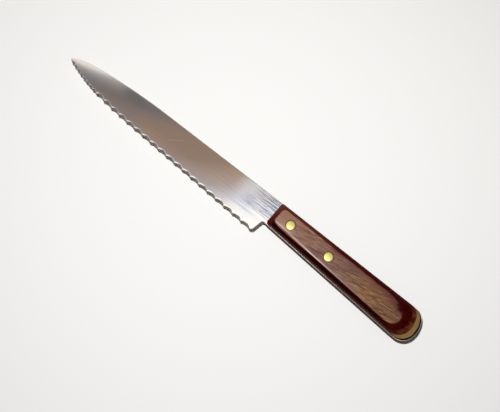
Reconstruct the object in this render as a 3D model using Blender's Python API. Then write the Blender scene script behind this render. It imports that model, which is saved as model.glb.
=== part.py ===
"""Serrated tomato knife with a full tang and a riveted wooden handle, lying on its side.

The steel sheet lies level. The tip points to -X, the butt to +X, and the teeth to -Y.
Outlines are drawn in millimetres from the point where the spine meets the handle's front end.
"""
import math

import bmesh
import bpy

for item in list(bpy.data.objects):
    bpy.data.objects.remove(item, do_unlink=True)

MM = 0.001

# Steel sheet, from the tip to the butt of the tang
STEEL = 1.5
BLADE_LENGTH = 152.6
TANG_LENGTH = 98.9
GAP = 0.3

# Spine: straight, then a slow fall that turns down hard at the tip
SPINE_STRAIGHT = 85.0
SPINE_FALL = 5.5
SPINE_TURN = 2.8
SPINE_TURN_POWER = 12
SPINE_STEPS = 24
NOSE_RADIUS = 0.8
NOSE_START = math.radians(121)
NOSE_END = math.radians(250)

# Cutting edge: the line of the tooth tips
HEEL_DEPTH = 22.85
EDGE_ANGLE = math.radians(2.74)
BELLY_START = 95.0
BELLY_RISE = 6.33

# Scallops, ground from the upper face: wide ones from the heel, fine ones round the tip
FIRST_TOOTH = 6.0
WIDE_COUNT = 19
WIDE_PITCH = 6.335
FINE_COUNT = 8
FINE_PITCH = 3.17
DEPTH_ABOVE = 0.2
DEPTH_BELOW = 0.095
TOOTH_LAND = 0.25
SCALLOP_STEPS = 8

# Step from the heel up to the tang
HEEL_AHEAD = 3.93
HEEL_RADIUS = 1.5
NOTCH_AHEAD = 2.49
NOTCH_RADIUS = 1.2
CORNER_STEPS = 6

# Handle outline: both long edges taper, and the butt is a fat half oval
TOP_TAPER = math.radians(0.54)
TANG_FRONT = 14.95
BOTTOM_TAPER = math.radians(3.71)
BUTT_DEPTH = 9.0
BUTT_POWER = 2.2
BUTT_STEPS = 28

# Scales: flat face, shoulders rounded over above a low wall, and a long slope at the butt
SCALE_LENGTH = 98.4
SCALE_THICK = 5.3
SCALE_INSET = 0.4
SHOULDER_WALL = 1.5
FRONT_CORNER = 1.2
BUTT_WALL = 0.8
BUTT_SLOPE = math.radians(24.5)
BUTT_BLEND = 8.0
SHOULDER_STEPS = 9

# Two-part rivets: a head with a tube, and a head with a stem that goes into the tube
RIVET_PLACES = {"front": (11.8, -8.35), "rear": (38.45, -9.3)}
HEAD_RADIUS = 2.7
HEAD_THICK = 1.4
HEAD_DOME = 0.12
DOME_STEPS = 3
TUBE_RADIUS = 1.8
STEM_RADIUS = 1.1
TURN_STEPS = 32
BORE_PAST = 1.0

TANG_BASE = SCALE_THICK + GAP
TANG_TOP = TANG_BASE + STEEL
UPPER_BASE = TANG_TOP + GAP
FACE_TOP = UPPER_BASE + SCALE_THICK


def spine_y(ahead):
    share = max(0.0, ahead - SPINE_STRAIGHT) / (BLADE_LENGTH - SPINE_STRAIGHT)
    return -SPINE_FALL * share ** 2 - SPINE_TURN * share ** SPINE_TURN_POWER


def edge_y(ahead):
    share = max(0.0, ahead - BELLY_START) / (BLADE_LENGTH - BELLY_START)
    return -HEEL_DEPTH + ahead * math.tan(EDGE_ANGLE) + BELLY_RISE * share ** 3


def top_y(x):
    return -x * math.tan(TOP_TAPER)


def bottom_y(x):
    return -TANG_FRONT - x * math.tan(BOTTOM_TAPER)


def tooth_places():
    """How far ahead of the handle each tooth tip lies, from the tip of the blade to the heel."""
    places = [FIRST_TOOTH]
    for pitch in [WIDE_PITCH] * WIDE_COUNT + [FINE_PITCH] * FINE_COUNT:
        slope = (edge_y(places[-1] + pitch) - edge_y(places[-1])) / pitch
        places.append(places[-1] + pitch / math.hypot(1.0, slope))
    return places[::-1]


def scallop(start, end, depth_share):
    """Arc from one tooth tip to the next, hollowed into the blade by a share of their distance."""
    length = math.dist(start, end)
    hollow = length * depth_share
    radius = (length ** 2 / 4 + hollow ** 2) / (2 * hollow)
    half_turn = math.asin(length / 2 / radius)
    along = ((end[0] - start[0]) / length, (end[1] - start[1]) / length)
    inward = (-along[1], along[0])
    points = []
    for step in range(SCALLOP_STEPS):
        turn = half_turn * (2 * step / SCALLOP_STEPS - 1)
        run = length / 2 + radius * math.sin(turn)
        rise = radius * math.cos(turn) - radius + hollow
        points.append((start[0] + along[0] * run + inward[0] * rise,
                       start[1] + along[1] * run + inward[1] * rise))
    return points


def teeth(outset, depth_share):
    """The toothed edge from the tip to the heel, with the tooth tips set out by outset."""
    tips = [(-ahead, edge_y(ahead) - outset) for ahead in tooth_places()]
    points = []
    for start, end in zip(tips, tips[1:]):
        points += scallop(start, end, depth_share)
    return points + [tips[-1]]


def rounded_corner(before, corner, after, radius):
    """Points of an arc that rounds off a corner of an outline."""
    lengths = [math.dist(corner, before), math.dist(corner, after)]
    arms = [((end[0] - corner[0]) / length, (end[1] - corner[1]) / length)
            for end, length in zip((before, after), lengths)]
    half = math.acos(arms[0][0] * arms[1][0] + arms[0][1] * arms[1][1]) / 2
    middle = (arms[0][0] + arms[1][0], arms[0][1] + arms[1][1])
    reach = radius / math.sin(half) / math.hypot(*middle)
    centre = (corner[0] + middle[0] * reach, corner[1] + middle[1] * reach)
    touch = radius / math.tan(half)
    angles = [math.atan2(corner[1] + arm[1] * touch - centre[1], corner[0] + arm[0] * touch - centre[0])
              for arm in arms]
    turn = (angles[1] - angles[0] + math.pi) % math.tau - math.pi
    return [(centre[0] + radius * math.cos(angles[0] + turn * step / CORNER_STEPS),
             centre[1] + radius * math.sin(angles[0] + turn * step / CORNER_STEPS))
            for step in range(CORNER_STEPS + 1)]


def butt_end(end, inset):
    """The rounded end of the handle from its lower edge to its upper one."""
    points = []
    for step in range(BUTT_STEPS + 1):
        turn = math.pi * (step / BUTT_STEPS - 0.5)
        x = end - BUTT_DEPTH + BUTT_DEPTH * abs(math.cos(turn)) ** (2 / BUTT_POWER)
        across = math.copysign(abs(math.sin(turn)) ** (2 / BUTT_POWER), turn)
        half = (top_y(x) - bottom_y(x)) / 2 - inset
        points.append((x, (top_y(x) + bottom_y(x)) / 2 + across * half))
    return points


def blade_outline(outset, depth_share):
    """Outline of one face of the sheet, anticlockwise from the tip along the teeth."""
    toothed = teeth(outset, depth_share)
    heel = (-HEEL_AHEAD, toothed[-1][1])
    notch = (-NOTCH_AHEAD, bottom_y(-NOTCH_AHEAD))
    tang = butt_end(TANG_LENGTH, 0.0)
    spine_end = BLADE_LENGTH - NOSE_RADIUS
    spine = []
    for step in range(SPINE_STEPS):
        ahead = SPINE_STRAIGHT + (spine_end - SPINE_STRAIGHT) * step / SPINE_STEPS
        spine.append((-ahead, spine_y(ahead)))
    middle = (spine_y(spine_end) + edge_y(spine_end)) / 2
    nose = []
    for step in range(CORNER_STEPS + 1):
        turn = NOSE_START + (NOSE_END - NOSE_START) * step / CORNER_STEPS
        nose.append((-spine_end + NOSE_RADIUS * math.cos(turn), middle + NOSE_RADIUS * math.sin(turn)))
    step_up = (rounded_corner(toothed[-1], heel, notch, HEEL_RADIUS)
               + rounded_corner(heel, notch, tang[0], NOTCH_RADIUS))
    return toothed + step_up + tang + [(0.0, 0.0)] + spine + nose


def butt_inset(height):
    """How far a scale has drawn back from its butt end at a height above the tang."""
    drop = SCALE_THICK - height
    if drop < BUTT_BLEND * (1 - math.cos(BUTT_SLOPE)):
        run = (SCALE_THICK - BUTT_WALL) / math.tan(BUTT_SLOPE) + BUTT_BLEND * math.tan(BUTT_SLOPE / 2)
        return run - math.sqrt(2 * BUTT_BLEND * drop - drop ** 2)
    return max(0.0, height - BUTT_WALL) / math.tan(BUTT_SLOPE)


def scale_outline(height):
    """Outline of a scale at a height above the tang, anticlockwise from its front end."""
    radius = SCALE_THICK - SHOULDER_WALL
    drawn_in = radius - math.sqrt(radius ** 2 - max(0.0, height - SHOULDER_WALL) ** 2)
    inset = SCALE_INSET + drawn_in
    lower = (drawn_in, bottom_y(drawn_in) + inset)
    upper = (drawn_in, top_y(drawn_in) - inset)
    end = butt_end(SCALE_LENGTH - butt_inset(height), inset)
    return (rounded_corner(upper, lower, end[0], FRONT_CORNER) + end
            + rounded_corner(end[-1], upper, lower, FRONT_CORNER))


def finish(name, mesh, colour, roughness, metallic):
    """An object with its own material, hung on the knife's empty."""
    material = bpy.data.materials.new(name)
    material.use_nodes = True
    shader = material.node_tree.nodes["Principled BSDF"]
    shader.inputs["Base Color"].default_value = (*colour, 1.0)
    shader.inputs["Roughness"].default_value = roughness
    shader.inputs["Metallic"].default_value = metallic
    mesh.materials.append(material)
    piece = bpy.data.objects.new(name, mesh)
    bpy.context.collection.objects.link(piece)
    piece.parent = knife
    return piece


def lofted(name, rings):
    """Closed mesh through a stack of equal outlines, given as height and points from the bottom up."""
    shape = bmesh.new()
    loops = [[shape.verts.new((x * MM, y * MM, height * MM)) for x, y in ring] for height, ring in rings]
    shape.faces.new(loops[0][::-1])
    shape.faces.new(loops[-1])
    for low, high in zip(loops, loops[1:]):
        for here in range(len(low)):
            there = (here + 1) % len(low)
            shape.faces.new((low[here], low[there], high[there], high[here]))
    mesh = bpy.data.meshes.new(name)
    shape.to_mesh(mesh)
    shape.free()
    return mesh


def turned(name, profile):
    """Closed mesh made by turning a profile of radius and height about the upright axis."""
    shape = bmesh.new()
    points = [shape.verts.new((radius * MM, 0.0, height * MM)) for radius, height in profile]
    edges = [shape.edges.new(pair) for pair in zip(points, points[1:])]
    bmesh.ops.spin(shape, geom=points + edges, axis=(0, 0, 1), angle=math.tau,
                   steps=TURN_STEPS, use_merge=True)
    bmesh.ops.remove_doubles(shape, verts=shape.verts, dist=0.001 * MM)
    bmesh.ops.recalc_face_normals(shape, faces=shape.faces)
    mesh = bpy.data.meshes.new(name)
    shape.to_mesh(mesh)
    shape.free()
    mesh.shade_smooth()
    mesh.set_sharp_from_angle(angle=math.radians(30))
    return mesh


def dome(face, crown):
    """Profile of a rivet's outer face from its middle to its rim, crowned towards crown."""
    return [(HEAD_RADIUS * step / DOME_STEPS, face - crown * HEAD_DOME * (step / DOME_STEPS) ** 2)
            for step in range(DOME_STEPS + 1)]


def drill(piece):
    """Cut the stepped rivet holes into a piece."""
    for bore in bores:
        cut = piece.modifiers.new(bore.name, "BOOLEAN")
        cut.operation = "DIFFERENCE"
        cut.object = bore


blade_rings = [(TANG_BASE, blade_outline(TOOTH_LAND, DEPTH_BELOW)),
               (TANG_TOP, blade_outline(0.0, DEPTH_ABOVE))]
depths = [y for height, ring in blade_rings for x, y in ring]

# The row's origin lies on the table under the middle of the knife
knife = bpy.data.objects.new("knife", None)
knife.location = ((BLADE_LENGTH - TANG_LENGTH) / 2 * MM, -(min(depths) + max(depths)) / 2 * MM, 0.0)
bpy.context.collection.objects.link(knife)

# Rivet holes: a clear way for the tube, and a counterbore for each head
hole = TUBE_RADIUS + GAP
counterbore = HEAD_RADIUS + GAP
floor = HEAD_THICK + GAP
bores = []
for place, (x, y) in RIVET_PLACES.items():
    bore = finish(place + "_bore", turned(place + "_bore", [
        (0, FACE_TOP + BORE_PAST), (counterbore, FACE_TOP + BORE_PAST), (counterbore, FACE_TOP - floor),
        (hole, FACE_TOP - floor), (hole, floor), (counterbore, floor), (counterbore, -BORE_PAST),
        (0, -BORE_PAST)]), (0.5, 0.5, 0.5), 0.5, 0.0)
    bore.location = (x * MM, y * MM, 0.0)
    bore.hide_render = True
    bore.display_type = "WIRE"
    bores.append(bore)

# Blade and tang, stamped from one stainless sheet
blade = finish("blade", lofted("blade", blade_rings), (0.55, 0.52, 0.49), 0.25, 1.0)
drill(blade)

# Scales of dyed laminated wood, one on each side of the tang
levels = [0.0, BUTT_WALL]
for step in range(SHOULDER_STEPS + 1):
    turn = math.pi / 2 * step / SHOULDER_STEPS
    levels.append(SHOULDER_WALL + (SCALE_THICK - SHOULDER_WALL) * math.sin(turn))
upper_rings = [(UPPER_BASE + height, scale_outline(height)) for height in levels]
lower_rings = [(SCALE_THICK - height, scale_outline(height)) for height in reversed(levels)]
for name, rings in (("upper_scale", upper_rings), ("lower_scale", lower_rings)):
    scale = finish(name, lofted(name, rings), (0.22, 0.11, 0.07), 0.3, 0.0)
    drill(scale)

# Rivets: the tube half goes in from above, the stem half from below
stem_end = FACE_TOP - floor - GAP
for place, (x, y) in RIVET_PLACES.items():
    tube = turned(place + "_rivet_tube", dome(FACE_TOP, 1) + [
        (HEAD_RADIUS, FACE_TOP - HEAD_THICK), (TUBE_RADIUS, FACE_TOP - HEAD_THICK),
        (TUBE_RADIUS, floor), (STEM_RADIUS + GAP, floor),
        (STEM_RADIUS + GAP, stem_end + GAP), (0, stem_end + GAP)])
    stem = turned(place + "_rivet_stem", [
        (0, stem_end), (STEM_RADIUS, stem_end), (STEM_RADIUS, HEAD_THICK),
        (HEAD_RADIUS, HEAD_THICK)] + dome(0.0, -1)[::-1])
    for half in (tube, stem):
        rivet = finish(half.name, half, (0.72, 0.55, 0.18), 0.25, 1.0)
        rivet.location = (x * MM, y * MM, 0.0)
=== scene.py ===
import math

import bmesh
import bpy
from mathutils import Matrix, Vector


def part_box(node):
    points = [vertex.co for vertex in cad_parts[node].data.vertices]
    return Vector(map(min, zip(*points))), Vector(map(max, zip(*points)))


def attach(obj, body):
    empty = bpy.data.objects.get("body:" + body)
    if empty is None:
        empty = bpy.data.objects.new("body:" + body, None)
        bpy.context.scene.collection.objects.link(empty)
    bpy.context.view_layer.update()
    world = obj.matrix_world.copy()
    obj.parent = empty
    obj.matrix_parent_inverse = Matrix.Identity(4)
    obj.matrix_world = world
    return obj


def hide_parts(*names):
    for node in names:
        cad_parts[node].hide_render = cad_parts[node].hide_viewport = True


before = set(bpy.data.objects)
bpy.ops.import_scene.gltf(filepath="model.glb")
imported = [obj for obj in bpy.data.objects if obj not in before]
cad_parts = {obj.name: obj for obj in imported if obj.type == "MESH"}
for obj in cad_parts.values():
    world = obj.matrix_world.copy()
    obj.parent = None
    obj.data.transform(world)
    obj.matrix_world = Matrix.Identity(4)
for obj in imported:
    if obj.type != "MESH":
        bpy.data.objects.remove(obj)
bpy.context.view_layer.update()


# Blade and tang: one sheet of stainless steel, stamped to shape and polished along its length.
# A wheel grinds scallops into the cutting edge, wide ones from the heel and fine ones round the tip,
# and buffing rounds their lips. The tang runs to the butt and shows along the handle's edges.
MM = 0.001
WELD = 0.001 * MM
SHARP_ANGLE = 32
BLADE_LENGTH = 152.6
TANG_LENGTH = 98.9
SPINE_STRAIGHT = 85.0
SPINE_FALL = 5.5
SPINE_TURN = 2.8
SPINE_TURN_POWER = 12
NOSE_RADIUS = 0.8
NOSE_START = math.radians(121)
NOSE_END = math.radians(250)
HEEL_DEPTH = 22.85
EDGE_ANGLE = math.radians(2.74)
BELLY_START = 95.0
BELLY_RISE = 6.33
FIRST_TOOTH = 6.0
WIDE_COUNT = 19
WIDE_PITCH = 6.335
FINE_COUNT = 8
FINE_PITCH = 3.17
FINE_GAP = 0.6
DEEPER_FROM = 96.0
DEEPER_FULL = 106.0
SLACK = 0.001
TOOTH_LAND = 0.25
HEEL_AHEAD = 3.93
HEEL_RADIUS = 2.0
NOTCH_AHEAD = 2.49
NOTCH_RADIUS = 1.2
TOP_TAPER = math.radians(0.54)
TANG_FRONT = 14.95
BOTTOM_TAPER = math.radians(3.71)
BUTT_DEPTH = 9.0
BUTT_POWER = 2.2
BUTT_SPINE_DEPTH = 6.5
BUTT_SPINE_POWER = 2.0
ARRIS = 0.12
EDGE_ROUND = 0.2
# Up a tooth's wall and over its lip: share of the land, share of the hollow, height, ground and painted shade
TOOTH_PROFILE = ((0.0, 0.72, 0.0, 0.0), (0.0, 0.72, 0.1, 1.0), (0.004, 0.78, 0.5, 1.0),
                 (0.008, 0.86, 0.9, 1.0), (0.014, 0.915, 1.2, 1.0), (0.03, 0.965, 1.36, 0.9),
                 (0.05, 0.985, 1.385, 0.0), (0.4, 0.88, 1.455, 0.0), (0.8, 0.72, 1.5, 0.0))
TOOTH_STEPS = 14
SPINE_STEPS = 60
CORNER_STEPS = 10
BUTT_STEPS = 56
SUPPORT = 0.12
RIVET_PLACES = ((11.8, -8.35), (38.45, -9.3))
BORE_RADIUS = 1.87
BORE_PAST = 1.0
AROUND = 64
TANG_SHOWS = (26.0, 28.0)
TANG_DARKENS = (50.0, 90.0)
HIGHLIGHT_BRIGHTENS = (115.0, 123.0)
HIGHLIGHT_HEIGHT = 0.4
SCRATCHES = ((-48.2, -0.8, 11.0, 38.0), (-53.9, -2.1, 2.8, 62.0))
SCRATCH_FADE = 3.0
BRUSH_DEPTH = 0.00001

sheet_low, sheet_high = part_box("blade")
SHEET_BASE = sheet_low.z / MM
STEEL = (sheet_high.z - sheet_low.z) / MM


def placed(x, y, z):
    """A point given in millimetres from where the spine meets the handle, and from the table up."""
    return Vector((sheet_low.x + (BLADE_LENGTH + x) * MM, sheet_high.y + y * MM, z * MM))


def spine_y(ahead):
    share = max(0.0, ahead - SPINE_STRAIGHT) / (BLADE_LENGTH - SPINE_STRAIGHT)
    return -SPINE_FALL * share ** 2 - SPINE_TURN * share ** SPINE_TURN_POWER


def edge_y(ahead):
    share = max(0.0, ahead - BELLY_START) / (BLADE_LENGTH - BELLY_START)
    return -HEEL_DEPTH + ahead * math.tan(EDGE_ANGLE) + BELLY_RISE * share ** 3


def top_y(x):
    return -x * math.tan(TOP_TAPER)


def bottom_y(x):
    return -TANG_FRONT - x * math.tan(BOTTOM_TAPER)


def toothed_line():
    """Points on the line of tooth tips from the blade's tip to its heel, with their way from the heel."""
    ahead = FIRST_TOOTH
    along = 0.0
    line = [(ahead, along)]
    for pitch in [WIDE_PITCH] * WIDE_COUNT + [FINE_GAP] + [FINE_PITCH] * FINE_COUNT:
        slope = (edge_y(ahead + pitch) - edge_y(ahead)) / pitch
        span = pitch / math.hypot(1.0, slope)
        for step in range(1, TOOTH_STEPS + 1):
            line.append((ahead + span * step / TOOTH_STEPS, along + pitch * step / TOOTH_STEPS))
        ahead += span
        along += pitch
    return [(Vector((-place, edge_y(place) - TOOTH_LAND)), way) for place, way in reversed(line)]


def rounded_corner(before, corner, after, radius):
    """Points of an arc that rounds off a corner of an outline."""
    back = (before - corner).normalized()
    onward = (after - corner).normalized()
    half = back.angle(onward) / 2
    centre = corner + (back + onward).normalized() * radius / math.sin(half)
    start = corner + back * radius / math.tan(half) - centre
    end = corner + onward * radius / math.tan(half) - centre
    return [centre + start.slerp(end, step / CORNER_STEPS) * radius for step in range(CORNER_STEPS + 1)]


def butt_end(end, inset):
    """The rounded end of the handle from its lower edge to its upper one."""
    points = []
    for step in range(BUTT_STEPS + 1):
        turn = math.pi * (step / BUTT_STEPS - 0.5)
        depth, power = (BUTT_SPINE_DEPTH, BUTT_SPINE_POWER) if turn > 0 else (BUTT_DEPTH, BUTT_POWER)
        x = end - depth + depth * abs(math.cos(turn)) ** (2 / power)
        across = math.copysign(abs(math.sin(turn)) ** (2 / power), turn)
        half = (top_y(x) - bottom_y(x)) / 2 - inset
        points.append(Vector((x, (top_y(x) + bottom_y(x)) / 2 + across * half)))
    return points


def sheet_outline():
    """The sheet's outline before grinding, anticlockwise, and each point's way along the teeth."""
    toothed = toothed_line()
    last = toothed[-1][0]
    heel = Vector((-HEEL_AHEAD, last.y))
    notch = Vector((-NOTCH_AHEAD, bottom_y(-NOTCH_AHEAD)))
    tang = butt_end(TANG_LENGTH, 0.0)
    spine_end = BLADE_LENGTH - NOSE_RADIUS
    bare = rounded_corner(last, heel, notch, HEEL_RADIUS) + rounded_corner(heel, notch, tang[0], NOTCH_RADIUS)
    bare += tang + [Vector((0.0, 0.0))]
    for step in range(SPINE_STEPS):
        ahead = SPINE_STRAIGHT + (spine_end - SPINE_STRAIGHT) * step / SPINE_STEPS
        bare.append(Vector((-ahead, spine_y(ahead))))
    middle = Vector((-spine_end, (spine_y(spine_end) + edge_y(spine_end)) / 2))
    for step in range(CORNER_STEPS + 1):
        turn = NOSE_START + (NOSE_END - NOSE_START) * step / CORNER_STEPS
        bare.append(middle + NOSE_RADIUS * Vector((math.cos(turn), math.sin(turn))))
    return toothed + [(point, -1.0) for point in bare]


def stacked(shape, loops):
    """Faces through a stack of equal loops of points, closed at both ends."""
    shape.faces.new(loops[0][::-1])
    shape.faces.new(loops[-1])
    for low, high in zip(loops, loops[1:]):
        for here in range(len(low)):
            there = (here + 1) % len(low)
            shape.faces.new((low[here], low[there], high[there], high[here]))


def sheet_blank():
    """The stamped sheet with softened edges, and on each point what the grinding needs to know."""
    outline = sheet_outline()
    levels = [((ARRIS, 0.0), 0.0, TOOTH_PROFILE[0]), ((0.0, ARRIS), 0.0, TOOTH_PROFILE[1])]
    steps = len(TOOTH_PROFILE) - 3
    for step, toothed in enumerate(TOOTH_PROFILE[2:]):
        turn = math.pi / 2 * step / steps
        plain = (EDGE_ROUND * (1 - math.cos(turn)), STEEL - EDGE_ROUND * (1 - math.sin(turn)))
        levels.append((plain, 0.0, toothed))
    levels.append(((EDGE_ROUND + SUPPORT, STEEL), SUPPORT, TOOTH_PROFILE[-1]))
    shape = bmesh.new()
    way = shape.verts.layers.float.new("along")
    flat = shape.verts.layers.float.new("land")
    arc = shape.verts.layers.float.new("hollow")
    ground_and_shade_layer = shape.verts.layers.float.new("ground")
    into = shape.verts.layers.float_vector.new("inward")
    loops = []
    for plain, past, (land, hollow, lift, worn) in levels:
        loop = []
        for index, (point, along) in enumerate(outline):
            run = (outline[(index + 1) % len(outline)][0] - outline[index - 1][0]).normalized()
            inward = Vector((-run.y, run.x))
            inset, height = (past, lift) if along >= 0 else plain
            moved = point + inward * inset
            vertex = shape.verts.new(placed(moved.x, moved.y, SHEET_BASE + height))
            vertex[way] = along
            vertex[flat] = land
            vertex[arc] = hollow
            vertex[ground_and_shade_layer] = worn
            vertex[into] = inward.to_3d()
            loop.append(vertex)
        loops.append(loop)
    stacked(shape, loops)
    mesh = bpy.data.meshes.new("blade")
    shape.to_mesh(mesh)
    shape.free()
    return mesh


class Wire:
    """A socket in a node tree. Sums on it add Math nodes, and node() adds a node of any other kind."""

    def __init__(self, tree, socket=None):
        self.tree = tree
        self.socket = socket

    def node(self, kind, settings, values):
        made = self.tree.nodes.new(kind)
        for name, setting in settings.items():
            if name == "stops":
                while len(made.color_ramp.elements) < len(setting):
                    made.color_ramp.elements.new(0.5)
                for element, (place, colour) in zip(made.color_ramp.elements, setting):
                    element.position = place
                    element.color = colour
            elif name == "items":
                while len(made.index_switch_items) < setting:
                    made.index_switch_items.new()
            else:
                setattr(made, name, setting)
        for name, value in values.items():
            if isinstance(value, Wire):
                self.tree.links.new(value.socket, made.inputs[name])
            else:
                made.inputs[name].default_value = value
        return Wire(self.tree, next((socket for socket in made.outputs if socket.enabled), None))

    def out(self, name):
        return Wire(self.tree, self.socket.node.outputs[name])

    def math(self, operation, first, second=0.0):
        return self.node("ShaderNodeMath", {"operation": operation}, {0: first, 1: second})

    def __add__(self, other):
        return self.math("ADD", self, other)

    def __radd__(self, other):
        return self.math("ADD", other, self)

    def __sub__(self, other):
        return self.math("SUBTRACT", self, other)

    def __rsub__(self, other):
        return self.math("SUBTRACT", other, self)

    def __mul__(self, other):
        return self.math("MULTIPLY", self, other)

    def __rmul__(self, other):
        return self.math("MULTIPLY", other, self)

    def __truediv__(self, other):
        return self.math("DIVIDE", self, other)

    def rise(self, low, high):
        """A mask that goes smoothly from 0 at low to 1 at high."""
        return self.node("ShaderNodeMapRange", {"interpolation_type": "SMOOTHSTEP"},
                         {"Value": self, "From Min": low, "From Max": high})

    def mix(self, first, second):
        """The first colour where this mask is 0, and the second where it is 1."""
        return self.node("ShaderNodeMix", {"data_type": "RGBA"}, {0: self, 6: first, 7: second})


def new_tree(name, sizes):
    """A Geometry Nodes tree with named sizes, and wires to its geometry and to each of them."""
    tree = bpy.data.node_groups.new(name, "GeometryNodeTree")
    tree.interface.new_socket("Geometry", in_out="OUTPUT", socket_type="NodeSocketGeometry")
    tree.interface.new_socket("Geometry", in_out="INPUT", socket_type="NodeSocketGeometry")
    for size in sizes:
        tree.interface.new_socket(size, in_out="INPUT", socket_type="NodeSocketFloat")
    start = Wire(tree).node("NodeGroupInput", {}, {})
    return tree, start, [start.out(size) for size in sizes]


def end_tree(geometry, material):
    """The last nodes of a tree: real geometry in one material."""
    real = geometry.node("GeometryNodeRealizeInstances", {}, {"Geometry": geometry})
    painted = real.node("GeometryNodeSetMaterial", {}, {"Geometry": real, "Material": material})
    painted.node("NodeGroupOutput", {}, {"Geometry": painted})


def settle(piece):
    """Turns what a piece's modifiers make of it into its own plain mesh."""
    graph = bpy.context.evaluated_depsgraph_get()
    shape = bpy.data.meshes.new_from_object(piece.evaluated_get(graph), preserve_all_data_layers=True,
                                            depsgraph=graph)
    piece.modifiers.clear()
    piece.data = shape


def grown(name, mesh, tree, sizes):
    """A piece that a Geometry Nodes tree makes from a starting mesh and its sizes."""
    piece = bpy.data.objects.new(name, mesh)
    bpy.context.collection.objects.link(piece)
    maker = piece.modifiers.new(name, "NODES")
    maker.node_group = tree
    for item in tree.interface.items_tree:
        if item.in_out == "INPUT" and item.name in sizes:
            maker[item.identifier] = sizes[item.name]
    settle(piece)
    return piece


def smoothed(piece, angle):
    """Smooth shading, with the edges that turn by more than an angle kept sharp."""
    piece.data.shade_smooth()
    piece.data.set_sharp_from_angle(angle=math.radians(angle))


def tone(red, green, blue):
    """A colour as it looks on a screen, from 0 to 255, for a shader."""
    levels = [level / 255 for level in (red, green, blue)]
    return tuple(level / 12.92 if level < 0.04045 else ((level + 0.055) / 1.055) ** 2.4
                 for level in levels) + (1,)


def finish(name):
    """A new material, its shader, and wires to the place on the piece and to its millimetre axes."""
    material = bpy.data.materials.new(name)
    material.use_nodes = True
    tree = material.node_tree
    place = Wire(tree).node("ShaderNodeTexCoord", {}, {}).out("Object")
    axes = place.node("ShaderNodeSeparateXYZ", {}, {"Vector": place})
    return material, tree.nodes["Principled BSDF"], place, [axes.out(axis) * (1 / MM) for axis in "XYZ"]


def noise(place, stretch, detail=2.0, roughness=0.5):
    """Noise from 0 to 1 over a place, with so many waves to the millimetre along each axis."""
    fitted = place.node("ShaderNodeMapping", {}, {"Vector": place,
                                                  "Scale": [waves / MM for waves in stretch]})
    return fitted.node("ShaderNodeTexNoise", {}, {"Vector": fitted, "Scale": 1.0, "Detail": detail,
                                                  "Roughness": roughness})


def feed(shader, **wires):
    """Links wires to a shader's sockets, whose names are given with _ for a space."""
    for name, wire in wires.items():
        wire.tree.links.new(wire.socket, shader.inputs[name.replace("_", " ")])


def steel_finish():
    steel, shader, place, (x, y, z) = finish("polished_steel")
    shader.inputs["Metallic"].default_value = 1.0
    cloud = noise(place, (0.03, 0.1, 0.1), 3.0)
    lines = noise(place, (0.035, 0.75, 0.75), 3.0, 0.55)
    fine = noise(place, (0.03, 5.0, 5.0), 2.0)
    ground = place.node("ShaderNodeAttribute", {"attribute_name": "ground"}, {}).out("Fac")
    tang = x.rise(*TANG_SHOWS)
    stained = (0.7 * cloud + 0.3 * lines).rise(0.38, 0.62) * (0.5 + 0.5 * x.rise(-118.0, -100.0))
    colour = stained.mix(tone(201, 203, 207), tone(210, 205, 196))
    for start_x, start_y, length, slant in SCRATCHES:
        turn = math.radians(slant)
        way = (x - start_x) * math.cos(turn) + (y - start_y) * math.sin(turn)
        off = (y - start_y) * math.cos(turn) - (x - start_x) * math.sin(turn)
        scratch = (1 - (off * off).rise(0.01, 0.1)) * way.rise(0.0, 1.0)
        scratch = scratch * (1 - way.rise(length - SCRATCH_FADE, length))
        colour = (scratch * 0.4).mix(colour, tone(250, 240, 228))
    # Painted shade: ground walls and scallop facets get a dark brown steel, partly for the rougher ground
    # finish and partly for the dark hollows under the lips.
    colour = ground.mix(colour, tone(94, 77, 71))
    # The tang's edge along the handle: painted darker down its side as painted shade, with a painted
    # highlight along its top corner that grows brighter at the butt; both get darker towards the rear.
    bare = x.rise(*TANG_DARKENS).mix(tone(138, 125, 118), tone(110, 98, 92))
    corner = x.rise(*TANG_DARKENS).mix(tone(192, 172, 164), tone(146, 128, 118))
    corner = x.rise(*HIGHLIGHT_BRIGHTENS).mix(corner, tone(232, 216, 206))
    painted_highlight_mask = z.rise(SHEET_BASE + STEEL - HIGHLIGHT_HEIGHT, SHEET_BASE + STEEL)
    colour = tang.mix(colour, painted_highlight_mask.mix(bare, corner))
    near_handle = x.rise(0.0, 20.0) * (1 - tang) * y.rise(-4.5, 0.5)
    roughness = 0.028 + 0.016 * fine + 0.25 * ground + 0.42 * tang
    height = lines * (0.05 + 0.5 * x.rise(-25.0, 5.0) + near_handle * (2.0 + 2.2 * x.rise(12.0, 24.0)))
    bump = height.node("ShaderNodeBump", {}, {"Height": height, "Strength": 1.0, "Distance": BRUSH_DEPTH})
    feed(shader, Base_Color=colour, Roughness=roughness, Normal=bump)
    return steel


def drilled(piece, profile):
    """Cuts a hole at each rivet through a piece, turned from radii and heights down the hole."""
    for x, y in RIVET_PLACES:
        shape = bmesh.new()
        points = [shape.verts.new(placed(x + radius, y, height)) for radius, height in profile]
        edges = [shape.edges.new(pair) for pair in zip(points, points[1:])]
        bmesh.ops.spin(shape, geom=points + edges, cent=placed(x, y, 0), axis=(0, 0, 1), angle=math.tau,
                       steps=AROUND, use_merge=True)
        bmesh.ops.remove_doubles(shape, verts=shape.verts, dist=WELD)
        bmesh.ops.recalc_face_normals(shape, faces=shape.faces)
        mesh = bpy.data.meshes.new("bore")
        shape.to_mesh(mesh)
        shape.free()
        bore = bpy.data.objects.new("bore", mesh)
        bpy.context.collection.objects.link(bore)
        hole = piece.modifiers.new("bore", "BOOLEAN")
        hole.object = bore
        hole.solver = "EXACT"
        settle(piece)
        bpy.data.objects.remove(bore)


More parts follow.
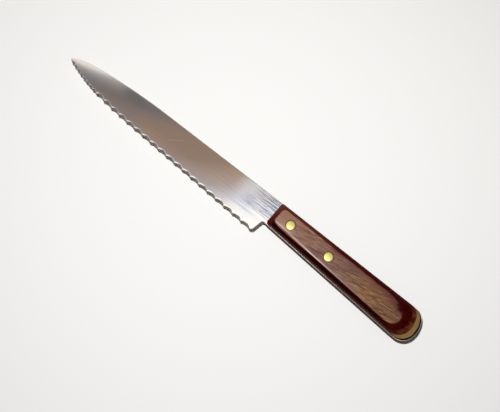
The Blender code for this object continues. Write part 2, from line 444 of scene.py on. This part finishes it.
steel = steel_finish()
SCALLOP_SIZES = {"Wide Pitch": WIDE_PITCH, "Wide Count": WIDE_COUNT, "Fine Pitch": FINE_PITCH,
                 "Fine Gap": FINE_GAP, "Land Width": 0.195, "Hollow Depth": 0.178, "Deeper By Tip": 0.22,
                 "Narrower By Tip": 0.2, "Fine Foot": 0.8, "Fine Flare": 0.5}
scallops, start, (wide, count, fine, gap, width, deep, deeper, narrower, fine_foot, flare) = new_tree(
    "scallop_grinding", SCALLOP_SIZES)
along, land, hollow = [
    start.node("GeometryNodeInputNamedAttribute", {"data_type": "FLOAT"}, {"Name": name})
    for name in ("along", "land", "hollow")]
inward = start.node("GeometryNodeInputNamedAttribute", {"data_type": "FLOAT_VECTOR"}, {"Name": "inward"})
past_wide = along.math("GREATER_THAN", along, wide * count + SLACK)
pitch = wide + past_wide * (fine - wide)
turns = (along - past_wide * (wide * count + gap)) / pitch
phase = turns.math("FRACT", turns.math("MAXIMUM", turns, 0.0))
spot = start.node("GeometryNodeInputPosition", {}, {})
spot = spot.node("ShaderNodeSeparateXYZ", {}, {"Vector": spot})
level = (spot.out("Z") * (1 / MM) - SHEET_BASE) * (1 / STEEL)
by_tip = along.rise(DEEPER_FROM, DEEPER_FULL)
growth = (1 + deeper * by_tip) * (1 + past_wide * (fine_foot + flare * level - 1))
share = land * width * (1 - narrower * by_tip) + 4 * phase * (1 - phase) * hollow * deep
depth = along.math("GREATER_THAN", along, -0.5) * pitch * share * growth * MM
cut = inward.node("ShaderNodeVectorMath", {"operation": "SCALE"}, {0: inward, "Scale": depth})
ground = start.node("GeometryNodeSetPosition", {}, {"Geometry": start.out("Geometry"), "Offset": cut})
end_tree(ground, steel)
blade = grown("blade_and_tang", sheet_blank(), scallops, SCALLOP_SIZES)
bore_top = SHEET_BASE + STEEL + BORE_PAST
bore_foot = SHEET_BASE - BORE_PAST
drilled(blade, ((0, bore_top), (BORE_RADIUS, bore_top), (BORE_RADIUS, bore_foot), (0, bore_foot)))
smoothed(blade, SHARP_ANGLE)
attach(blade, "root")
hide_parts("blade")


# Scales: two slabs sawn from a board of dyed veneers that were glued and pressed under heat.
# Their long edges and front ends are rounded over, the butts sanded to a slope that cuts through
# the layers, and the whole is lacquered. Each lies against one side of the tang.
SCALE_LENGTH = 98.6
SCALE_INSET = 0.12
SPINE_INSET = 0.5
SHOULDER_WALL = 1.9
FRONT_CORNER = 1.2
CORNER_GROWTH = 0.4
BUTT_WALL = 0.85
BUTT_SLOPE = math.radians(24.5)
BUTT_BLEND = 8.0
GLUE_LINE = 0.06
SHOULDER_STEPS = 18
FACE_SUPPORT = 0.5
SEAT_RADIUS = 2.9
SEAT_DEPTH = 1.47
GRAIN_SLANT = math.radians(-10)
PORE_DEPTH = 0.007
scale_low, scale_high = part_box("upper_scale")
SCALE_THICK = (scale_high.z - scale_low.z) / MM
FACE_TOP = scale_high.z / MM


def butt_inset(height):
    """How far a scale has drawn back from its butt end at a height above the tang."""
    drop = SCALE_THICK - height
    if drop < BUTT_BLEND * (1 - math.cos(BUTT_SLOPE)):
        run = (SCALE_THICK - BUTT_WALL) / math.tan(BUTT_SLOPE) + BUTT_BLEND * math.tan(BUTT_SLOPE / 2)
        return run - math.sqrt(2 * BUTT_BLEND * drop - drop ** 2)
    return max(0.0, height - BUTT_WALL) / math.tan(BUTT_SLOPE)


def scale_outline(height, inset):
    """Outline of a scale at a height above the tang, drawn in by an inset, anticlockwise."""
    radius = SCALE_THICK - SHOULDER_WALL
    inset += radius - math.sqrt(radius ** 2 - max(0.0, height - SHOULDER_WALL) ** 2)
    lower = Vector((inset, bottom_y(inset) + inset + SCALE_INSET))
    upper = Vector((inset, top_y(inset) - inset - SCALE_INSET - SPINE_INSET))
    end = [point - Vector((0.0, SPINE_INSET / 2)) for point in
           butt_end(SCALE_LENGTH - butt_inset(height), inset + SCALE_INSET + SPINE_INSET / 2)]
    corner = FRONT_CORNER + CORNER_GROWTH * inset
    return (rounded_corner(upper, lower, end[0], corner) + end
            + rounded_corner(end[-1], upper, lower, corner))


def scale_blank(name, foot, rise):
    """One scale, built from the side that lies on the tang to its outer face."""
    levels = [(GLUE_LINE - (scale_low.z - sheet_high.z) / MM, ARRIS), (ARRIS, 0.0), (BUTT_WALL, 0.0)]
    for step in range(SHOULDER_STEPS + 1):
        turn = math.pi / 2 * step / SHOULDER_STEPS
        levels.append((SHOULDER_WALL + (SCALE_THICK - SHOULDER_WALL) * math.sin(turn), 0.0))
    levels.append((SCALE_THICK, FACE_SUPPORT))
    shape = bmesh.new()
    loops = []
    for height, inset in levels:
        outline = scale_outline(height, inset)
        loops.append([shape.verts.new(placed(point.x, point.y, foot + rise * height)) for point in outline])
    stacked(shape, loops if rise > 0 else loops[::-1])
    mesh = bpy.data.meshes.new(name)
    shape.to_mesh(mesh)
    shape.free()
    return mesh


def wood_finish(name, foot, rise):
    wood, layers, place, (x, y, z) = finish(name)
    slanted = place.node("ShaderNodeMapping", {}, {"Vector": place, "Rotation": (0, 0, GRAIN_SLANT)})
    grain = noise(slanted, (0.06, 0.6, 0.6), 4.0, 0.65)
    figure = noise(slanted, (0.02, 0.12, 0.12), 2.0, 0.5)
    mottle = noise(slanted, (0.14, 0.35, 0.35), 3.0, 0.6)
    pores = noise(slanted, (0.2, 1.7, 1.7), 3.0, 0.6)
    behind = x - (sheet_low.x / MM + BLADE_LENGTH)
    across = sheet_high.y / MM - y
    height = (z - foot) * rise
    wavy = height + (mottle - 0.5) * 0.4

    # The layers, from the tang outwards: black, tan, red and maroon, which show on the edges and the butt
    # Painted shade: the tan and red layers are darker on the steep side walls; only on the sloped butt do
    # they show their own paler colour.
    butt = behind.rise(86.0, 93.0)
    black = grain.mix(tone(10, 2, 2), tone(22, 6, 5))
    tan = butt.mix(pores.mix(tone(54, 32, 24), tone(84, 58, 42)),
                   pores.mix(tone(104, 76, 44), tone(160, 128, 86)))
    red = butt.mix(grain.mix(tone(26, 5, 4), tone(62, 26, 19)),
                   mottle.rise(0.35, 0.65).mix(tone(46, 8, 5), tone(104, 54, 34)))
    maroon = grain.mix(tone(16, 0, 0), tone(40, 1, 1))
    maroon = behind.rise(74.0, 90.0).mix(maroon, mottle.rise(0.3, 0.7).mix(tone(40, 0, 0), tone(60, 9, 5)))
    spine_side = behind.rise(16.0, 44.0).mix(grain.mix(tone(72, 26, 19), tone(98, 48, 37)),
                                             grain.mix(tone(48, 5, 4), tone(76, 20, 15)))
    maroon = across.rise(2.6, 5.2).mix(spine_side, maroon)
    # Painted light: at the front end, which faces the lamp, the maroon layer is painted lighter and redder,
    # most near the spine.
    lit_front_end = across.rise(3.0, 13.0).mix(tone(88, 48, 43), grain.mix(tone(56, 8, 6), tone(86, 26, 19)))
    maroon = behind.rise(1.5, 4.5).mix(lit_front_end, maroon)
    colour = wavy.rise(1.2, 1.32).mix(black, tan)
    colour = wavy.rise(2.35, 2.5).mix(colour, red)
    colour = wavy.rise(3.5, 3.85).mix(colour, maroon)
    layers.inputs["Specular IOR Level"].default_value = 0.02
    relief = (pores + grain) * PORE_DEPTH
    bump = relief.node("ShaderNodeBump", {}, {"Height": relief, "Strength": 1.0, "Distance": MM})
    feed(layers, Base_Color=colour, Roughness=0.42 + 0.1 * pores, Normal=bump)

    # The brown outer layer, sanded away towards the rounded edges, so that it ends in a reddish rim
    rear = (behind + (figure - 0.5) * 40).rise(46.0, 70.0)
    # Towards the front the brown is paler and its grain streaks fainter: partly the wood's own figure, partly
    # a painted sheen.
    brown = behind.rise(16.0, 34.0).mix(tone(140, 101, 84), tone(110, 75, 65))
    brown = rear.mix(brown, tone(112, 74, 42))
    streaky = 0.35 + 0.45 * behind.rise(6.0, 24.0) + 0.2 * rear
    brown = (grain.rise(0.44, 0.66) * streaky).mix(brown, rear.mix(tone(84, 50, 40), tone(66, 33, 22)))
    brown = (pores.rise(0.48, 0.72) * streaky).mix(brown, rear.mix(tone(158, 122, 98), tone(152, 112, 70)))
    by_spine = 0.45 * behind.rise(30.0, 50.0) + 0.35 * behind.rise(60.0, 78.0)
    brown = (by_spine * (1 - across.rise(4.0, 12.5))).mix(brown, tone(86, 44, 33))
    spine_film = (0.19 - 0.14 * behind.rise(10.0, 44.0) - 0.07 * behind.rise(68.0, 84.0)
                  - 0.16 * behind.rise(79.0, 90.0))
    edge_film = 0.37 - 0.13 * behind.rise(14.0, 32.0) - 0.06 * behind.rise(76.0, 90.0)
    film = spine_film + (edge_film - spine_film) * (across - 4.0) * (1 / 12.0)
    slanted_front = (behind - 0.18 * (across - 4.0)).rise(0.6, 6.3)
    film = film - 0.24 * (1 - slanted_front) + (height - SCALE_THICK)
    film = film + (mottle - 0.5) * 0.1 + (grain - 0.5) * 0.1
    brown = film.rise(0.02, 0.1).mix(tone(84, 33, 25), brown)
    past_middle = across.math("MAXIMUM", across - 7.0, 0.0)
    sanded = past_middle * past_middle * 0.01 * (1 - behind.rise(9.0, 28.0))
    relief = relief - sanded
    bump = relief.node("ShaderNodeBump", {}, {"Height": relief, "Strength": 1.0, "Distance": MM})
    face = place.node("ShaderNodeBsdfPrincipled", {}, {"Specular IOR Level": 0.2})
    feed(face.socket.node, Base_Color=brown, Normal=bump,
         Roughness=0.23 + 0.05 * pores + 0.3 * behind.rise(24.0, 72.0))
    softer = (1 - across.rise(3.0, 8.0)) * (1 - behind.rise(30.0, 60.0))
    face_mask = film.rise(-0.18 * softer, 0.05)
    under = Wire(place.tree, layers.outputs[0])
    both = face.node("ShaderNodeMixShader", {}, {0: face_mask, 1: under, 2: face})
    feed(place.tree.nodes["Material Output"], Surface=both)
    return wood


upper_floor = FACE_TOP - SEAT_DEPTH
stepped_bore = ((0, FACE_TOP + BORE_PAST), (SEAT_RADIUS, FACE_TOP + BORE_PAST), (SEAT_RADIUS, upper_floor),
                (BORE_RADIUS, upper_floor), (BORE_RADIUS, SEAT_DEPTH), (SEAT_RADIUS, SEAT_DEPTH),
                (SEAT_RADIUS, -BORE_PAST), (0, -BORE_PAST))
for name, node, foot, rise in (("upper_scale_wood", "upper_scale", scale_low.z / MM, 1),
                               ("lower_scale_wood", "lower_scale", SCALE_THICK, -1)):
    scale = bpy.data.objects.new(name, scale_blank(name, foot, rise))
    bpy.context.collection.objects.link(scale)
    scale.data.materials.append(wood_finish(name, foot, rise))
    drilled(scale, stepped_bore)
    smoothed(scale, SHARP_ANGLE)
    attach(scale, "root")
    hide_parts(node)


# Rivets: cutlery rivets of brass in two halves, a head with a tube from above and a head with a stem
# from below. They sit in counterbores, are pressed together through the tang, and are ground flush.
HEAD_RADIUS = 2.7
HEAD_THICK = 1.4
CROWN = 0.1
RIM = 0.12
TUBE_RADIUS = 1.8
STEM_RADIUS = 1.1
SEAT_GAP = 0.07
STEM_GAP = 0.3
HEAD_SHARP_ANGLE = 30
POLISH_DEPTH = 0.000008


def brass_finish():
    brass, shader, place, (x, y, z) = finish("polished_brass")
    shader.inputs["Metallic"].default_value = 1.0
    worn = noise(place, (0.5, 0.5, 0.5), 4.0)
    scratches = noise(place, (0.6, 4.0, 4.0), 3.0)
    colour = worn.mix(tone(144, 132, 76), tone(168, 156, 102))
    roughness = 0.33 + 0.15 * scratches
    bump = scratches.node("ShaderNodeBump", {}, {"Height": scratches, "Strength": 0.5,
                                                 "Distance": POLISH_DEPTH})
    feed(shader, Base_Color=colour, Roughness=roughness, Normal=bump)
    return brass


brass = brass_finish()
RIVET_SIZES = ("Head Radius", "Head Thickness", "Crown", "Rim", "Shank Radius", "Shank Length",
               "Bore Radius", "Bore Depth", "Turn")
rivets, start, sizes = new_tree("rivet_half", RIVET_SIZES)
head, thick, crown, rim, shank, length, bore, blind, turn = sizes
profile = [(0 * head, 0 * head), (head * 0.35, crown * -0.12), (head * 0.7, crown * -0.49),
           (head - rim, crown * -0.9), (head - rim * 0.3, crown * -1 - rim * 0.3), (head, crown * -1 - rim),
           (head, thick * -1), (shank, thick * -1), (shank, length * -1), (bore, length * -1),
           (bore, blind - length), (0 * head, blind - length)]
grid = start.node("GeometryNodeMeshGrid", {}, {"Size X": 1.0, "Size Y": 1.0, "Vertices X": AROUND + 1,
                                               "Vertices Y": len(profile)})
spot = start.node("GeometryNodeInputPosition", {}, {})
spot = spot.node("ShaderNodeSeparateXYZ", {}, {"Vector": spot})
row = (spot.out("Y") + 0.5) * (len(profile) - 1)
row = row.node("FunctionNodeFloatToInt", {"rounding_mode": "ROUND"}, {"Float": row})
angle = spot.out("X") * math.tau
radius, height = [
    row.node("GeometryNodeIndexSwitch", {"data_type": "FLOAT", "items": len(profile)},
             {"Index": row, **{str(index): point[axis] for index, point in enumerate(profile)}})
    for axis in (0, 1)]
turned = row.node("ShaderNodeCombineXYZ", {}, {
    "X": radius * angle.math("COSINE", angle) * MM, "Y": radius * angle.math("SINE", angle) * MM,
    "Z": height * MM})
half = start.node("GeometryNodeSetPosition", {}, {"Geometry": grid, "Position": turned})
half = half.node("GeometryNodeMergeByDistance", {}, {"Geometry": half, "Distance": WELD})
tilt = turn.node("ShaderNodeCombineXYZ", {}, {"X": turn})
halves = half.node("GeometryNodeInstanceOnPoints", {}, {"Points": start.out("Geometry"), "Instance": half,
                                                        "Rotation": tilt})
end_tree(halves, brass)
stem_length = FACE_TOP - HEAD_THICK - SEAT_GAP - STEM_GAP
tube_length = FACE_TOP - HEAD_THICK - SEAT_GAP
for name, face, nodes, fitted in (
        ("rivet_tubes", FACE_TOP, ("front_rivet_tube", "rear_rivet_tube"),
         (TUBE_RADIUS, tube_length, STEM_RADIUS + SEAT_GAP, tube_length - HEAD_THICK - SEAT_GAP, 0.0)),
        ("rivet_stems", 0.0, ("front_rivet_stem", "rear_rivet_stem"),
         (STEM_RADIUS, stem_length, 0.0, 0.0, math.pi))):
    places = bpy.data.meshes.new(name)
    places.from_pydata([placed(x, y, face) for x, y in RIVET_PLACES], [], [])
    pair = grown(name, places, rivets, dict(zip(RIVET_SIZES, (HEAD_RADIUS, HEAD_THICK, CROWN, RIM) + fitted)))
    shape = bmesh.new()
    shape.from_mesh(pair.data)
    bmesh.ops.recalc_face_normals(shape, faces=shape.faces)
    shape.to_mesh(pair.data)
    shape.free()
    smoothed(pair, HEAD_SHARP_ANGLE)
    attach(pair, "root")
    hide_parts(*nodes)


# Table: a plain pale top that the knife lies on, matt, painted a little paler towards the far side as painted
# light.
# It lies a hair below the knife, so that the two faces never coincide.
TABLE_SIZE = 3.0
CLEARANCE = 0.03
TABLE_SHADES_OVER = 220.0
mesh = bpy.data.meshes.new("table")
corners = [placed(0, 0, -CLEARANCE) + Vector((across, along, 0)) * TABLE_SIZE / 2
           for across, along in ((-1, -1), (1, -1), (1, 1), (-1, 1))]
mesh.from_pydata(corners, [], [(0, 1, 2, 3)])
table = bpy.data.objects.new("table", mesh)
bpy.context.collection.objects.link(table)
pale, shader, place, (x, y, z) = finish("pale_table")
# Painted light: paler towards the far side, standing in for brighter light there and for the lamp's falloff.
painted_far_light = (0.95 * y - 0.3 * x).rise(-TABLE_SHADES_OVER, TABLE_SHADES_OVER)
feed(shader, Base_Color=painted_far_light.mix(tone(227, 226, 225), tone(255, 254, 252)))
shader.inputs["Roughness"].default_value = 0.6
shader.inputs["Specular IOR Level"].default_value = 0.2
table.data.materials.append(pale)


# Light: a small lamp almost overhead, which gives the crisp shadow, and a dim room around it whose
# bright ceiling and brown shade the polished steel mirrors.
LAMP_PLACE = (-25, -60, 500)
LAMP_RADIUS = 0.015
LAMP_POWER = 9.95
ROOM_STRENGTH = 1.65
LEVEL = 0.02
CEILING_TONES = (
    (0.0, tone(238, 230, 222)), (0.035, tone(216, 209, 201)), (0.066, tone(158, 154, 151)),
    (0.16, tone(127, 123, 124)), (0.22, tone(117, 111, 111)), (0.28, tone(109, 102, 101)),
    (0.35, tone(122, 109, 106)), (0.43, tone(136, 117, 107)), (0.54, tone(142, 120, 103)),
    (0.68, tone(145, 122, 106)), (0.76, tone(160, 141, 128)), (0.84, tone(173, 158, 151)),
    (0.91, tone(206, 202, 205)), (0.98, tone(255, 255, 255)))
# Patches on the ceiling: how far east and north of overhead, half the width and depth, and the tone
PATCHES = (
    (-0.21, 0.275, 0.042, 0.042, tone(212, 212, 221)), (-0.213, 0.263, 0.022, 0.011, tone(152, 156, 186)),
    (-0.181, 0.278, 0.03, 0.022, tone(124, 130, 164)), (-0.188, 0.24, 0.06, 0.018, tone(255, 255, 255)),
    (-0.185, 0.316, 0.05, 0.027, tone(58, 54, 58)), (-0.435, 0.28, 0.028, 0.012, tone(102, 98, 99)))
lamp = bpy.data.lights.new("lamp", "POINT")
lamp.shadow_soft_size = LAMP_RADIUS
lamp.energy = LAMP_POWER
lamp_stand = bpy.data.objects.new("lamp", lamp)
lamp_stand.location = placed(*LAMP_PLACE)
bpy.context.collection.objects.link(lamp_stand)

world = bpy.data.worlds.new("room")
world.use_nodes = True
bpy.context.scene.world = world
background = world.node_tree.nodes["Background"]
toward = Wire(world.node_tree).node("ShaderNodeTexCoord", {}, {}).out("Generated")
toward = toward.node("ShaderNodeSeparateXYZ", {}, {"Vector": toward})
up = toward.math("MAXIMUM", toward.out("Z"), LEVEL)
east = toward.out("X") / up
north = toward.out("Y") / up
overhead = ((1 - (east * east + north * north).rise(0.4, 1.6)) * (1 - east.rise(0.3, 0.6))
            * north.rise(-0.6, -0.3))
ramp = (east + (1.3 + 10 * east) * (north - 0.265) + 0.56) / 0.37
ceiling = ramp.node("ShaderNodeValToRGB", {"stops": CEILING_TONES}, {"Fac": ramp})
by_teeth = (1 - north.rise(0.243, 0.262)) * (1 - east.rise(-0.31, -0.25))
ceiling = (0.3 * by_teeth).mix(ceiling, tone(152, 147, 154))
by_tip = (1 - north.rise(0.255, 0.272)) * (1 - east.rise(-0.43, -0.39))
ceiling = (0.5 * by_tip).mix(ceiling, tone(115, 110, 113))
for to_east, to_north, half_width, half_depth, colour in PATCHES:
    aside = (east - to_east) / half_width
    beyond = (north - to_north) / half_depth
    ceiling = (1 - (aside * aside + beyond * beyond).rise(0.0, 1.0)).mix(ceiling, colour)
ceiling = (0.95 * east.rise(-0.15, -0.04)).mix(ceiling, tone(40, 34, 32))
window = east.rise(-0.36, -0.22).mix(tone(128, 118, 112), tone(245, 241, 239))
room = overhead.mix(tone(122, 118, 114), north.rise(0.0, 0.06).mix(window, ceiling))
path = room.node("ShaderNodeLightPath", {}, {})
seen = path.out("Is Camera Ray").mix((0.055, 0.05, 0.047, 1), (0.55, 0.55, 0.54, 1))
feed(background, Color=path.out("Is Glossy Ray").mix(seen, room))
background.inputs["Strength"].default_value = ROOM_STRENGTH


# Camera: stands above the side of the cutting edge, near the handle, and looks down steeply at the
# middle of the knife with a longer lens.
SENSOR = 36.0
LENS = 57.6
AZIMUTH = math.radians(39.47)
ELEVATION = math.radians(71.5)
DISTANCE = 441.9
AIM = (-13.318, -12.577)
camera = bpy.data.cameras.new("camera")
camera.sensor_fit = "HORIZONTAL"
camera.sensor_width = SENSOR
camera.lens = LENS
camera.clip_start = 0.01
tripod = bpy.data.objects.new("camera", camera)
back = Vector((math.sin(AZIMUTH) * math.cos(ELEVATION), -math.cos(AZIMUTH) * math.cos(ELEVATION),
               math.sin(ELEVATION)))
tripod.location = placed(*AIM, SHEET_BASE + STEEL) + back * DISTANCE * MM
tripod.rotation_euler = back.to_track_quat("Z", "Y").to_euler()
bpy.context.collection.objects.link(tripod)
bpy.context.scene.camera = tripod
bpy.context.scene.view_settings.view_transform = "Standard"
